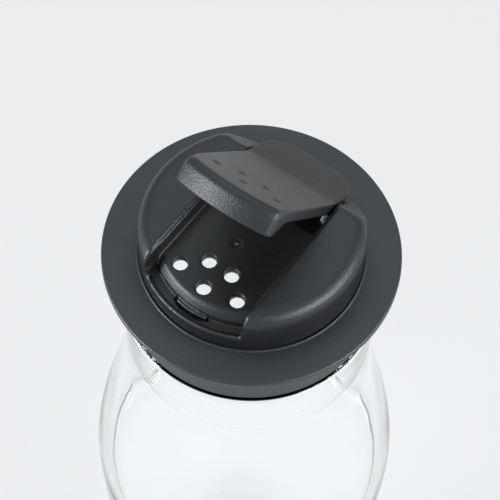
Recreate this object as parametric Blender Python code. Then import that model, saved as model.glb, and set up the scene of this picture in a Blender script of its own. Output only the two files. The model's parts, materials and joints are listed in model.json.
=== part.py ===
"""Hand shaker: a clear jar with a screw cap whose rocker flap opens five holes.

+Z is up and the jar stands on Z = 0 with its axis on Z. The holes are at the front, -Y, and the flap's
pivot is at the back, +Y. Lengths are metres. The flap is shown open, tipped back by OPEN_ANGLE.
"""
import math

import bmesh
import bpy
from mathutils import Matrix, Vector

MM = 0.001

# Clearances
FIT_GAP = 0.3 * MM            # between mouldings that seat on each other
SIDE_GAP = 0.5 * MM           # flap side to slot wall
EAR_GAP = 1.46 * MM           # flap ear to the floor and walls round it
LEDGE_GAP = 0.55 * MM         # skirt's lower edge to the jar's ledge
OVERRUN = 2.0 * MM            # how far cutters pass the surface they cut
MERGE_GAP = 0.002 * MM        # points closer than this, where cuts meet, become one

# Insert: spigot, boss and slot
SPIGOT_R = 18.6 * MM
SPIGOT_WALL = 1.4 * MM
BEAD_GRIP = 0.25 * MM         # snap bead past the edge of the collar's hole
BEAD_H = 0.6 * MM
BOSS_LEDGE = 1.84 * MM        # boss wall outside the spigot
BOSS_H = 9.88 * MM            # cheek tops above the deck
BOSS_DRAFT = 0.25 * MM        # how much slimmer the boss is at the top
BOSS_FILLET = 2.7 * MM
TOP_WALL = 1.5 * MM           # skin of the hollow cheeks
SLOT_WALL = 2.0 * MM          # wall between slot and hollow cheek
FLOOR_T = 1.2 * MM
CORE_STEP = 0.3 * MM          # ledge where the cheek cores leave the base core
REBATE_W = 0.55 * MM          # small step along the slot's upper edges
REBATE_D = 0.45 * MM

# Insert: sifter plate, moat and rim
PLATE_DEPTH = 3.94 * MM       # plate's face below the cheek tops
PLATE_T = 1.6 * MM
PLATE_WALL = 1.2 * MM
PLATE_SLOPE = 1.1 * MM        # how far the plate's front wall leans out
SLOPE_DROP = 1.7 * MM         # height of its sloped upper part
WALL_LEAN = 0.1 * MM          # lean of the steep part under it
MOAT_DEPTH = 3.2 * MM
MOAT_W = 1.1 * MM
STEP_W = 0.75 * MM            # second step inside the rim
STEP_H = 0.5 * MM
RIM_W = 0.85 * MM
RIM_RISE = 1.06 * MM
CATCH_PROUD = 0.3 * MM
CATCH_H = 0.45 * MM
CATCH_UP = 1.15 * MM          # catch bead above the moat's floor
POCKET_D = 1.2 * MM
CATCH_ANGLE = math.radians(23)
HOLE_R = 1.4 * MM
FRONT_ROW_SHARE = 0.862       # radius of the three front holes, of the plate's radius
REAR_ROW_SHARE = 0.583        # radius of the two rear holes, of the plate's radius
FRONT_FAN = math.radians(25.8)
REAR_FAN = math.radians(14.5)

# Back of the boss
FACET_BACK = 1.9 * MM         # crease of the back facets behind the pivot
FACET_ANGLE = math.radians(46)

# Flap
FLAP_HALF_W = 9.5 * MM
FLAP_T = 1.3 * MM
LIP_T = 1.2 * MM
LIP_H = 2.4 * MM
FLAP_SKIRT_T = 1.3 * MM
FLAP_FILLET = 1.6 * MM
FLAP_RIM_GAP = 1.3 * MM       # closed flap's skirt above the rim
GUSSET_BACK = 4.8 * MM        # where the side lips start to deepen, behind the flap's front corners
GUSSET_RUN = 3.3 * MM
PIVOT_INSET = 10.94 * MM      # pivot in front of the boss's back wall
PIVOT_DEPTH = 3.78 * MM       # pivot below the cheek tops
EAR_R = 1.9 * MM
TRUNNION_R = 1.05 * MM
TRUNNION_L = 1.4 * MM         # length outside the flap's side
CREASE_AHEAD = 1.8 * MM       # crease of the thumb tab in front of the pivot
TAB_REACH = 8.2 * MM          # tab's tip behind the pivot, flap closed
TAB_ANGLE = math.radians(17)
TAB_CORNER_R = 4.2 * MM
TAB_BOW = 1.2 * MM            # how far the tab's rear edge bows out
PIN_DIP = 0.35 * MM           # plug pins below the plate's face, flap closed
PIN_ROOT = 0.5 * MM
ROOF_STEP = 0.1 * MM          # how far the flap's hollow cuts into the tab's underside, at its back
OPEN_ANGLE = math.radians(48.5)

# Collar and liner
WEB_T = 1.6 * MM
FLANGE_OVERHANG = 3.35 * MM
FLANGE_T = 1.2 * MM
FLANGE_EDGE_SHARE = 0.4       # edge round, of the flange's thickness
SKIRT_DROP = 12.95 * MM
SKIRT_WALL = 1.35 * MM
LINER_T = 1.0 * MM
THREAD_ROOM = 1.25 * MM       # finish to skirt, where the threads run

# Jar
FINISH_WALL = 1.8 * MM
RIM_ROUND = 0.5 * MM
NECK_PROUD = 0.3 * MM         # neck outside the skirt
NECK_H = 14.5 * MM
SHOULDER_H = 58.0 * MM
FLARE = 9.05 * MM             # how much the S-curve widens the jar
BODY_H = 9.0 * MM
BASE_ROUND = 4.0 * MM
GLASS_WALL = 2.2 * MM
GLASS_FLOOR = 3.0 * MM
PUSH_UP = 1.2 * MM            # hollow under the base
FOOT_W = 6.5 * MM             # flat ring that the jar stands on

# Fineness
TURN_STEPS = 60
SHOULDER_STEPS = 11
ROUND_STEPS = 4
HOLE_SIDES = 20
SHARP_ANGLE = math.radians(32)

# Radii, from the cap's middle outwards
HOLE_IN_COLLAR_R = SPIGOT_R + FIT_GAP
BEAD_R = HOLE_IN_COLLAR_R + BEAD_GRIP
LINER_IN_R = BEAD_R + FIT_GAP
MOUTH_R = LINER_IN_R
FINISH_R = MOUTH_R + FINISH_WALL
SKIRT_IN_R = FINISH_R + THREAD_ROOM
SKIRT_R = SKIRT_IN_R + SKIRT_WALL
FLANGE_R = SKIRT_R + FLANGE_OVERHANG
LINER_OUT_R = SKIRT_IN_R - FIT_GAP
NECK_R = SKIRT_R + NECK_PROUD
BODY_R = NECK_R + FLARE
BOSS_R = SPIGOT_R + BOSS_LEDGE
BOSS_TOP_R = BOSS_R - BOSS_DRAFT
CORE_R = SPIGOT_R - SPIGOT_WALL
RIM_IN_R = BOSS_R - RIM_W
STEP_R = RIM_IN_R - STEP_W
PLATE_FOOT_R = STEP_R - MOAT_W
PLATE_R = PLATE_FOOT_R - PLATE_SLOPE
PLATE_CORE_R = PLATE_R - PLATE_WALL

# Heights of the jar, from the table up
BODY_TOP = BASE_ROUND + BODY_H
NECK_Z = BODY_TOP + SHOULDER_H
LEDGE_Z = NECK_Z + NECK_H
DECK_Z = LEDGE_Z + LEDGE_GAP + SKIRT_DROP
FINISH_TOP = DECK_Z - WEB_T - FIT_GAP - LINER_T - FIT_GAP

# Heights of the cap, from the flange's upper face, called the deck
PLATE_TOP = BOSS_H - PLATE_DEPTH
MOAT_Z = PLATE_TOP - MOAT_DEPTH
STEP_Z = MOAT_Z + STEP_H
RIM_Z = MOAT_Z + RIM_RISE
PIVOT_Z = BOSS_H - PIVOT_DEPTH
WELL_Z = PIVOT_Z - EAR_R - EAR_GAP
CORE_TOP = WELL_Z - FLOOR_T
BEAD_TOP = -WEB_T - FIT_GAP
SPIGOT_BOTTOM = BEAD_TOP - BEAD_H

# Places along Y in the cap, flap closed
PIVOT_Y = BOSS_R - PIVOT_INSET
PLATE_BACK_Y = PIVOT_Y - EAR_R - EAR_GAP
FACET_Y = PIVOT_Y + FACET_BACK
CREASE_Y = PIVOT_Y - CREASE_AHEAD
SLOT_HALF_W = FLAP_HALF_W + SIDE_GAP
CHEEK_CORE_X = SLOT_HALF_W + SLOT_WALL
LIP_Z = BOSS_H - LIP_H
FLAP_BOTTOM = RIM_Z + FLAP_RIM_GAP
FLAP_IN_R = BOSS_TOP_R - FLAP_SKIRT_T
GUSSET_Y = math.sqrt(BOSS_TOP_R ** 2 - FLAP_HALF_W ** 2) - GUSSET_BACK


def clear_scene():
    for thing in list(bpy.data.objects):
        bpy.data.objects.remove(thing)


def material(name, colour, roughness, transmission=0.0):
    """A plain Principled material in the piece's own colour."""
    mat = bpy.data.materials.new(name)
    mat.use_nodes = True
    shader = mat.node_tree.nodes["Principled BSDF"]
    shader.inputs["Base Color"].default_value = colour
    shader.inputs["Roughness"].default_value = roughness
    shader.inputs["Metallic"].default_value = 0.0
    shader.inputs["Transmission Weight"].default_value = transmission
    mat.diffuse_color = colour
    return mat


def add_object(name, bm, parent=None, mat=None):
    """Turn a bmesh into a smooth-shaded object, with its faces pointing out."""
    bmesh.ops.remove_doubles(bm, verts=bm.verts, dist=FIT_GAP / ROUND_STEPS / TURN_STEPS)
    bmesh.ops.recalc_face_normals(bm, faces=bm.faces)
    mesh = bpy.data.meshes.new(name)
    bm.to_mesh(mesh)
    bm.free()
    mesh.shade_smooth()
    mesh.set_sharp_from_angle(angle=SHARP_ANGLE)
    if mat:
        mesh.materials.append(mat)
    piece = bpy.data.objects.new(name, mesh)
    bpy.context.scene.collection.objects.link(piece)
    piece.parent = parent
    return piece


def frame(name, parent=None, location=(0, 0, 0), tilt=0.0):
    """An empty that carries a moving group, turned about X by tilt."""
    empty = bpy.data.objects.new(name, None)
    bpy.context.scene.collection.objects.link(empty)
    empty.parent = parent
    empty.location = location
    empty.rotation_euler = (tilt, 0, 0)
    return empty


def arc(centre, radius, start, end, steps=ROUND_STEPS):
    """Points of an arc in a flat outline, from the angle start to the angle end."""
    turns = [start + (end - start) * i / steps for i in range(steps + 1)]
    return [(centre[0] + radius * math.cos(a), centre[1] + radius * math.sin(a)) for a in turns]


def turned(name, outline, parent=None, mat=None, middle=0.0, sweep=2 * math.pi, steps=TURN_STEPS):
    """Spin a closed (radius, height) outline about Z, all round or as a sector about the angle middle."""
    bm = bmesh.new()
    verts = [bm.verts.new((r, 0, z)) for r, z in outline]
    whole = sweep >= 2 * math.pi
    start = 0.0 if whole else middle - sweep / 2
    if whole:
        count = len(verts)
        geom = verts + [bm.edges.new((verts[i], verts[(i + 1) % count])) for i in range(count)]
    else:
        face = bm.faces.new(verts)
        geom = [face]
    bmesh.ops.rotate(bm, verts=bm.verts, cent=(0, 0, 0), matrix=Matrix.Rotation(start, 3, "Z"))
    bmesh.ops.spin(bm, geom=geom, cent=(0, 0, 0), axis=(0, 0, 1), angle=sweep, steps=steps)
    close_pole(bm)
    if not whole:
        cap_sector(bm)
    return add_object(name, bm, parent, mat)


def close_pole(bm):
    """Merge what lies on the axis and drop the edges and faces that it collapses."""
    on_axis = FIT_GAP / TURN_STEPS
    poles = [v for v in bm.verts if math.hypot(v.co.x, v.co.y) < on_axis]
    for v in poles:
        v.co.x = 0
        v.co.y = 0
    bmesh.ops.remove_doubles(bm, verts=bm.verts, dist=on_axis / TURN_STEPS)
    bmesh.ops.dissolve_degenerate(bm, edges=bm.edges, dist=on_axis / TURN_STEPS)
    loose = [e for e in bm.edges if not e.link_faces]
    bmesh.ops.delete(bm, geom=loose, context="EDGES")


def cap_sector(bm):
    """Close the open ends of a part turn."""
    ends = [e for e in bm.edges if e.is_boundary]
    if ends:
        bmesh.ops.holes_fill(bm, edges=ends)


def prism(name, outline, across, low, high, parent=None, mat=None):
    """Extrude a flat outline: across X it is read as (Y, Z), across Z as (X, Y)."""
    place = {"X": lambda a, b: (low, a, b), "Z": lambda a, b: (a, b, low)}[across]
    run = {"X": (high - low, 0, 0), "Z": (0, 0, high - low)}[across]
    bm = bmesh.new()
    face = bm.faces.new([bm.verts.new(place(a, b)) for a, b in outline])
    made = bmesh.ops.extrude_face_region(bm, geom=[face])["geom"]
    moved = [g for g in made if isinstance(g, bmesh.types.BMVert)]
    bmesh.ops.translate(bm, verts=moved, vec=Vector(run))
    return add_object(name, bm, parent, mat)


def rod(name, centre, radius, length, along, parent=None):
    """A round bar whose middle is at centre."""
    turn = Matrix.Rotation(math.pi / 2, 4, "Y") if along == "X" else Matrix.Identity(4)
    bm = bmesh.new()
    bmesh.ops.create_cone(bm, cap_ends=True, segments=HOLE_SIDES, radius1=radius, radius2=radius,
                          depth=length, matrix=Matrix.Translation(centre) @ turn)
    return add_object(name, bm, parent)


def shape(piece, tool, operation):
    """Cut, join or clip a piece with a hidden tool object."""
    tool.hide_render = True
    tool.display_type = "WIRE"
    mod = piece.modifiers.new(tool.name, "BOOLEAN")
    mod.operation = operation
    mod.solver = "EXACT"
    mod.object = tool


def weld(piece):
    """Merge the near-double points that a chain of cuts leaves behind."""
    mod = piece.modifiers.new("weld", "WELD")
    mod.merge_threshold = MERGE_GAP


def shoulder(z):
    """Radius of the jar's outside on the S-curve between body and neck."""
    t = (z - BODY_TOP) / SHOULDER_H
    return BODY_R - FLARE * t * t * (3 - 2 * t)


def jar(mat):
    """Threaded finish, ledge, neck, S-curved shoulder, body and rounded base, hollow inside."""
    curve = [BODY_TOP + SHOULDER_H * i / SHOULDER_STEPS for i in range(SHOULDER_STEPS + 1)]
    outside = arc((FINISH_R - RIM_ROUND, FINISH_TOP - RIM_ROUND), RIM_ROUND, math.pi / 2, 0)
    outside += arc((FINISH_R + RIM_ROUND, LEDGE_Z + RIM_ROUND), RIM_ROUND, math.pi, 1.5 * math.pi, 2)
    outside += arc((NECK_R - NECK_PROUD, LEDGE_Z - NECK_PROUD), NECK_PROUD, math.pi / 2, 0)
    outside += [(shoulder(z), z) for z in reversed(curve)]
    outside += arc((BODY_R - BASE_ROUND, BASE_ROUND), BASE_ROUND, 0, -math.pi / 2)
    foot_r = BODY_R - BASE_ROUND - FOOT_W
    outside += [(foot_r, 0), (foot_r - PUSH_UP, PUSH_UP), (0, PUSH_UP)]
    inner_round = BASE_ROUND - GLASS_WALL / 2
    floor = PUSH_UP + GLASS_FLOOR
    inner_r = BODY_R - GLASS_WALL
    inside = [(0, floor)]
    inside += arc((inner_r - inner_round, floor + inner_round), inner_round, -math.pi / 2, 0)
    inside += [(shoulder(z) - GLASS_WALL, z) for z in curve]
    ledge_in = LEDGE_Z - GLASS_WALL
    inside += arc((MOUTH_R + FINISH_WALL / 2, ledge_in - FINISH_WALL), FINISH_WALL, 0, math.pi / 2, 3)
    inside += [(MOUTH_R, ledge_in)]
    inside += arc((MOUTH_R + RIM_ROUND, FINISH_TOP - RIM_ROUND), RIM_ROUND, math.pi, math.pi / 2, 2)
    return turned("jar", outside + inside, mat=mat)


def screw_collar(cap, mat):
    """Wide flange with a rounded edge, the web round the insert's spigot, and the skirt."""
    edge = FLANGE_T * FLANGE_EDGE_SHARE
    foot = SKIRT_WALL * FLANGE_EDGE_SHARE
    outline = [(HOLE_IN_COLLAR_R, 0)]
    outline += arc((FLANGE_R - edge, -edge), edge, math.pi / 2, 0)
    outline += arc((FLANGE_R - edge, edge - FLANGE_T), edge, 0, -math.pi / 2)
    outline += arc((SKIRT_R + edge, -FLANGE_T - edge), edge, math.pi / 2, math.pi, 3)
    outline += arc((SKIRT_R - foot, foot - SKIRT_DROP), foot, 0, -math.pi / 2, 3)
    outline += arc((SKIRT_IN_R + foot, foot - SKIRT_DROP), foot, -math.pi / 2, -math.pi, 3)
    outline += [(SKIRT_IN_R, -WEB_T), (HOLE_IN_COLLAR_R, -WEB_T)]
    return turned("screw_collar", outline, cap, mat)


def seal_liner(cap, mat):
    """Flat ring held between the collar's web and the rim of the jar."""
    low = -WEB_T - FIT_GAP - LINER_T
    high = -WEB_T - FIT_GAP
    outline = [(LINER_IN_R, high), (LINER_OUT_R, high), (LINER_OUT_R, low), (LINER_IN_R, low)]
    return turned("seal_liner", outline, cap, mat)


def tab_under(y):
    """Height of the closed tab's underside at y, from the deck."""
    bend_y = CREASE_Y + FLAP_T * math.tan(TAB_ANGLE / 2)
    return BOSS_H - FLAP_T + (y - bend_y) * math.tan(TAB_ANGLE)


def ramp_start():
    """Where the sloped stop starts, just behind the sweep of the corner between ear and tab."""
    return PIVOT_Y + math.hypot(EAR_R, tab_under(PIVOT_Y + EAR_R) - PIVOT_Z) + FIT_GAP


def opened(y, z):
    """Where a point of the closed flap lies when the flap is open."""
    dy = y - PIVOT_Y
    dz = z - PIVOT_Z
    c = math.cos(OPEN_ANGLE)
    s = math.sin(OPEN_ANGLE)
    return PIVOT_Y + dy * c + dz * s, PIVOT_Z - dy * s + dz * c


def stop_height(y):
    """Height of the sloped stop that the open tab rests over, FIT_GAP below its underside."""
    near = opened(PIVOT_Y, tab_under(PIVOT_Y))
    far = opened(PIVOT_Y + TAB_REACH, tab_under(PIVOT_Y + TAB_REACH))
    slope = (far[1] - near[1]) / (far[0] - near[0])
    drop = FIT_GAP * math.hypot(1, slope)
    return near[1] + (y - near[0]) * slope - drop


def hole_places():
    """Centres of the five holes: three along the front and two behind them."""
    front = [(PLATE_R * FRONT_ROW_SHARE, FRONT_FAN * i) for i in (-1, 0, 1)]
    rear = [(PLATE_R * REAR_ROW_SHARE, REAR_FAN * i) for i in (-1, 1)]
    return [(r * math.sin(a), -r * math.cos(a)) for r, a in front + rear]


def boss_outline():
    """Turned outline of the insert before it is cut."""
    top = arc((BOSS_TOP_R - BOSS_FILLET, BOSS_H - BOSS_FILLET), BOSS_FILLET, math.pi / 2, 0, 6)
    seat = [(BOSS_R, FIT_GAP), (SPIGOT_R, FIT_GAP), (SPIGOT_R, BEAD_TOP)]
    bead = [(BEAD_R, BEAD_TOP), (SPIGOT_R, SPIGOT_BOTTOM), (0, SPIGOT_BOTTOM)]
    return [(0, BOSS_H)] + top + seat + bead


def slot_tool(cap):
    """The slot from front to back: over the plate, down into the well, and up the sloped stop."""
    end = BOSS_R + OVERRUN
    top = BOSS_H + OVERRUN
    ramp = ramp_start()
    outline = [(-end, PLATE_TOP), (PLATE_BACK_Y, PLATE_TOP), (PLATE_BACK_Y, WELL_Z), (ramp, WELL_Z)]
    outline += [(ramp, stop_height(ramp)), (end, stop_height(end)), (end, top), (-end, top)]
    return prism("slot_tool", outline, "X", -SLOT_HALF_W, SLOT_HALF_W, cap)


def moat_tool(cap):
    """The stepped channel between the plate's sloped front and the rim, inside the slot's width."""
    out = BOSS_R + OVERRUN
    top = BOSS_H + OVERRUN
    bend = (PLATE_FOOT_R - WALL_LEAN, PLATE_TOP - SLOPE_DROP)
    outline = [(PLATE_R, top), (PLATE_R, PLATE_TOP), bend, (PLATE_FOOT_R, MOAT_Z), (STEP_R, MOAT_Z)]
    outline += [(STEP_R, STEP_Z), (RIM_IN_R, STEP_Z), (RIM_IN_R, RIM_Z), (out, RIM_Z), (out, top)]
    ring = turned("moat_tool", outline, cap)
    half_step = math.pi / TURN_STEPS          # keeps its edges off the edges of the boss
    ring.data.transform(Matrix.Rotation(half_step, 4, "Z"))
    front = [(-out - OVERRUN, CORE_TOP), (0, CORE_TOP), (0, top + OVERRUN), (-out - OVERRUN, top + OVERRUN)]
    shape(ring, prism("moat_limit", front, "X", -SLOT_HALF_W, SLOT_HALF_W, cap), "INTERSECT")
    return ring


def facet_tool(cap):
    """Slopes the backs of the cheeks."""
    end = BOSS_R + OVERRUN
    low = BOSS_H - (end - FACET_Y) * math.tan(FACET_ANGLE)
    outline = [(FACET_Y, BOSS_H), (end, low), (end, BOSS_H + OVERRUN), (FACET_Y, BOSS_H + OVERRUN)]
    return prism("facet_tool", outline, "X", -end, end, cap)


def cheek_core(side, cap):
    """Hollow inside one cheek, a skin's thickness under its top and its back facet."""
    skin = TOP_WALL / math.cos(FACET_ANGLE)
    top = BOSS_H - TOP_WALL
    bend = FACET_Y + (TOP_WALL - skin) / math.tan(FACET_ANGLE)
    back_z = top - (CORE_R - bend) * math.tan(FACET_ANGLE)
    low = CORE_TOP - OVERRUN
    outline = [(-CORE_R, low), (CORE_R, low), (CORE_R, back_z), (bend, top), (-CORE_R, top)]
    inner, outer = sorted((side * CHEEK_CORE_X, side * (BOSS_R + OVERRUN)))
    core = prism("cheek_core_" + "lr"[side > 0], outline, "X", inner, outer, cap)
    reach = CORE_R - CORE_STEP
    round_limit = [(0, low - OVERRUN), (reach, low - OVERRUN), (reach, BOSS_H), (0, BOSS_H)]
    shape(core, turned("core_limit_" + "lr"[side > 0], round_limit, cap), "INTERSECT")
    return core


def plate_core(cap):
    """Hollow under the sifter plate."""
    low = CORE_TOP - OVERRUN
    top = PLATE_TOP - PLATE_T
    back = PLATE_BACK_Y - PLATE_WALL
    outline = [(-CORE_R, low), (back, low), (back, top), (-CORE_R, top)]
    core = prism("plate_core", outline, "X", -SLOT_HALF_W, SLOT_HALF_W, cap)
    round_limit = [(0, low - OVERRUN), (PLATE_CORE_R, low - OVERRUN), (PLATE_CORE_R, BOSS_H), (0, BOSS_H)]
    shape(core, turned("plate_core_limit", round_limit, cap), "INTERSECT")
    return core


def shaker_insert(cap, mat):
    """Boss with two cheeks, slot, sifter plate, moat, catch, sockets and hollow underside."""
    insert = turned("shaker_insert", boss_outline(), cap, mat)
    shape(insert, facet_tool(cap), "DIFFERENCE")
    shape(insert, slot_tool(cap), "DIFFERENCE")
    shape(insert, moat_tool(cap), "DIFFERENCE")
    end = BOSS_R + OVERRUN
    step = SLOT_HALF_W + REBATE_W
    rebate = [(-end, BOSS_H - REBATE_D), (end, BOSS_H - REBATE_D), (end, BOSS_H + OVERRUN),
              (-end, BOSS_H + OVERRUN)]
    shape(insert, prism("rebate_tool", rebate, "X", -step, step, cap), "DIFFERENCE")
    low = SPIGOT_BOTTOM - OVERRUN
    base = [(0, low), (CORE_R, low), (CORE_R, CORE_TOP), (0, CORE_TOP)]
    shape(insert, turned("base_core", base, cap), "DIFFERENCE")
    shape(insert, plate_core(cap), "DIFFERENCE")
    for side in (-1, 1):
        shape(insert, cheek_core(side, cap), "DIFFERENCE")
        depth = SIDE_GAP + TRUNNION_L
        centre = (side * (SLOT_HALF_W - SIDE_GAP + depth / 2), PIVOT_Y, PIVOT_Z)
        socket = rod("socket_" + "lr"[side > 0], centre, TRUNNION_R + FIT_GAP, depth, "X", cap)
        shape(insert, socket, "DIFFERENCE")
    for i, (x, y) in enumerate(hole_places()):
        drill = rod("hole_tool_%d" % i, (x, y, PLATE_TOP), HOLE_R, 2 * PLATE_T + OVERRUN, "Z", cap)
        shape(insert, drill, "DIFFERENCE")
    add_catch(insert, cap)
    weld(insert)
    return insert


def add_catch(insert, cap):
    """The bead that the closed flap snaps over, and the moulding pocket under it."""
    z = MOAT_Z + CATCH_UP
    wall = PLATE_FOOT_R - WALL_LEAN * CATCH_UP / (MOAT_DEPTH - SLOPE_DROP)
    bead = [(wall - CATCH_H, z - CATCH_H), (wall + CATCH_PROUD, z), (wall - CATCH_H, z + CATCH_H)]
    front = -math.pi / 2
    steps = TURN_STEPS // 6
    pocket = [(PLATE_FOOT_R, MOAT_Z - POCKET_D), (STEP_R - STEP_H, MOAT_Z - POCKET_D),
              (STEP_R - STEP_H, STEP_Z), (PLATE_FOOT_R, STEP_Z)]
    tool = turned("pocket_tool", pocket, cap, None, front, CATCH_ANGLE, steps)
    shape(insert, tool, "DIFFERENCE")
    shape(insert, turned("catch_bead", bead, cap, None, front, CATCH_ANGLE, steps), "UNION")


def from_pivot(points):
    """Side points of the closed flap, seen from its pivot."""
    return [(y - PIVOT_Y, z - PIVOT_Z) for y, z in points]


def flap_side():
    """Side outline of the closed flap: top, thumb tab, ears round the pivot, lip and front skirt."""
    front = -BOSS_R - OVERRUN
    back = PIVOT_Y + TAB_REACH + OVERRUN
    ear_back = PIVOT_Y + EAR_R
    rise = (back - CREASE_Y) * math.tan(TAB_ANGLE)
    lip_turn = math.asin((LIP_Z - PIVOT_Z) / EAR_R)
    points = [(front, BOSS_H), (CREASE_Y, BOSS_H), (back, BOSS_H + rise), (back, tab_under(back))]
    points += [(ear_back, tab_under(ear_back))]
    points += arc((PIVOT_Y, PIVOT_Z), EAR_R, 0, -math.pi - lip_turn, 3 * ROUND_STEPS)
    points += [(-GUSSET_Y, LIP_Z), (-GUSSET_Y - GUSSET_RUN, FLAP_BOTTOM), (front, FLAP_BOTTOM)]
    return from_pivot(points)


def flap_plan():
    """Plan outline of the closed flap: straight sides, rounded tab corners and a bowed rear edge."""
    w = FLAP_HALF_W
    tip = TAB_REACH
    corner_y = tip - TAB_BOW - TAB_CORNER_R
    bow_half = w - TAB_CORNER_R
    bow_r = (bow_half * bow_half + TAB_BOW * TAB_BOW) / (2 * TAB_BOW)
    half_turn = math.asin(bow_half / bow_r)
    front = -PIVOT_Y - BOSS_R - OVERRUN
    points = [(-w, front), (w, front)]
    points += arc((w - TAB_CORNER_R, corner_y), TAB_CORNER_R, 0, math.pi / 2 - half_turn)
    points += arc((0, tip - bow_r), bow_r, math.pi / 2 - half_turn, math.pi / 2 + half_turn, 6)[1:-1]
    points += arc((TAB_CORNER_R - w, corner_y), TAB_CORNER_R, math.pi / 2 + half_turn, math.pi)
    return points


def moved_turning(name, outline, parent, middle=0.0, sweep=2 * math.pi, steps=TURN_STEPS):
    """A turned tool about the boss axis, for a piece whose frame is at the pivot."""
    tool = turned(name, outline, parent, None, middle, sweep, steps)
    tool.data.transform(Matrix.Translation((0, -PIVOT_Y, -PIVOT_Z)))
    return tool


def flap(pivot, mat):
    """Rocker lid with side lips, front skirt, thumb tab, trunnions and five plug pins."""
    wide = FLAP_HALF_W + OVERRUN
    lid = prism("flap", flap_side(), "X", -wide, wide, pivot, mat)
    tall = BOSS_H + TAB_REACH
    shape(lid, prism("flap_plan_tool", flap_plan(), "Z", -tall, tall, pivot), "INTERSECT")
    out = BOSS_R + FLAP_HALF_W
    top = BOSS_H + OVERRUN
    front = [(BOSS_TOP_R, FLAP_BOTTOM - OVERRUN)]
    front += arc((BOSS_TOP_R - FLAP_FILLET, BOSS_H - FLAP_FILLET), FLAP_FILLET, 0, math.pi / 2)
    front += [(BOSS_TOP_R - FLAP_FILLET, top), (out, top), (out, FLAP_BOTTOM - OVERRUN)]
    ring = moved_turning("flap_front_tool", front, pivot, -math.pi / 2, math.pi, TURN_STEPS // 2)
    shape(lid, ring, "DIFFERENCE")
    shape(lid, flap_hollow(pivot), "DIFFERENCE")
    for side in (-1, 1):
        length = LIP_T / 2 + TRUNNION_L
        centre = (side * (FLAP_HALF_W - LIP_T / 2 + length / 2), 0, 0)
        shape(lid, rod("trunnion_" + "lr"[side > 0], centre, TRUNNION_R, length, "X", pivot), "UNION")
    low = PLATE_TOP - PIN_DIP
    high = BOSS_H - FLAP_T + PIN_ROOT
    for i, (x, y) in enumerate(hole_places()):
        centre = (x, y - PIVOT_Y, (low + high) / 2 - PIVOT_Z)
        pin = rod("plug_pin_%d" % i, centre, HOLE_R - FIT_GAP, high - low, "Z", pivot)
        shape(lid, pin, "UNION")
    weld(lid)
    return lid


def flap_hollow(pivot):
    """Space under the flap, between its lips and behind its front skirt."""
    low = PIVOT_Z - EAR_R - OVERRUN
    front = -BOSS_R - OVERRUN
    bend_y = CREASE_Y + FLAP_T * math.tan(TAB_ANGLE / 2)
    back = PIVOT_Y + EAR_R + FIT_GAP
    points = [(front, low), (back, low), (back, tab_under(back) + ROOF_STEP),
              (bend_y, BOSS_H - FLAP_T), (front, BOSS_H - FLAP_T)]
    inner = FLAP_HALF_W - LIP_T
    tool = prism("flap_hollow_tool", from_pivot(points), "X", -inner, inner, pivot)
    limit = [(0, low - OVERRUN), (FLAP_IN_R, low - OVERRUN), (FLAP_IN_R, BOSS_H), (0, BOSS_H)]
    shape(tool, moved_turning("flap_hollow_limit", limit, pivot), "INTERSECT")
    return tool


def main():
    clear_scene()
    glass = material("clear_jar", (0.92, 0.95, 0.94, 1), 0.03, 1.0)
    collar_black = material("collar_black", (0.045, 0.047, 0.049, 1), 0.42)
    insert_black = material("insert_black", (0.042, 0.044, 0.046, 1), 0.42)
    flap_black = material("flap_black", (0.05, 0.052, 0.054, 1), 0.4)
    liner_white = material("liner_white", (0.85, 0.85, 0.83, 1), 0.7)
    jar(glass)
    cap = frame("cap_frame", location=(0, 0, DECK_Z))
    pivot = frame("flap_frame", cap, (0, PIVOT_Y, PIVOT_Z), -OPEN_ANGLE)
    seal_liner(cap, liner_white)
    screw_collar(cap, collar_black)
    shaker_insert(cap, insert_black)
    flap(pivot, flap_black)


main()
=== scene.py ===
"""Looks of a hand shaker: a clear waisted jar, a black screw cap and a rocker flap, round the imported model.

Lengths of the pieces and of the view are millimetres, and a mesh is scaled to metres when it is made. The
grain of the finishes, the stage and the lamps are in metres. The cap's pieces are worked out from the deck,
which is the flange's upper face. -Y is towards the holes and +Y towards the pivot.
"""
import json
import math

import bpy
import numpy as np
from mathutils import Matrix, Vector


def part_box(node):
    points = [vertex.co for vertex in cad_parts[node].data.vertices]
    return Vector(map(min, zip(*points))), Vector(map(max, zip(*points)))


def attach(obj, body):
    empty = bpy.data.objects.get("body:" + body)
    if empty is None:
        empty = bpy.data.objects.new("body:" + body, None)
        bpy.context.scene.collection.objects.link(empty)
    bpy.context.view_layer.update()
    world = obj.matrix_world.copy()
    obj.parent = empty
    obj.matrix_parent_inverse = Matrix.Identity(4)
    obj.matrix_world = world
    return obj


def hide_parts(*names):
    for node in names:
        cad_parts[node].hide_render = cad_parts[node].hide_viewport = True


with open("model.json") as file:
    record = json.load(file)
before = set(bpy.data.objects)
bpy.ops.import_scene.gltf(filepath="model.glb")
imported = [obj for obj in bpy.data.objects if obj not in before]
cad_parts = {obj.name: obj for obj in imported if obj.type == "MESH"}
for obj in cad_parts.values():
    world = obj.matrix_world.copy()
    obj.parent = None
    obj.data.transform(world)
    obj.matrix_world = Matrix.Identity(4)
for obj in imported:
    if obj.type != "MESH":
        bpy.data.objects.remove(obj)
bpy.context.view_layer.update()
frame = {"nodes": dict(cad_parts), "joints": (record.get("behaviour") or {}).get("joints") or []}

METRE = 1000.0                # millimetres in a metre


def corners(node):
    """Lowest and highest corner of a CAD node, in millimetres."""
    low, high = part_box(node)
    return low * METRE, high * METRE


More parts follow.
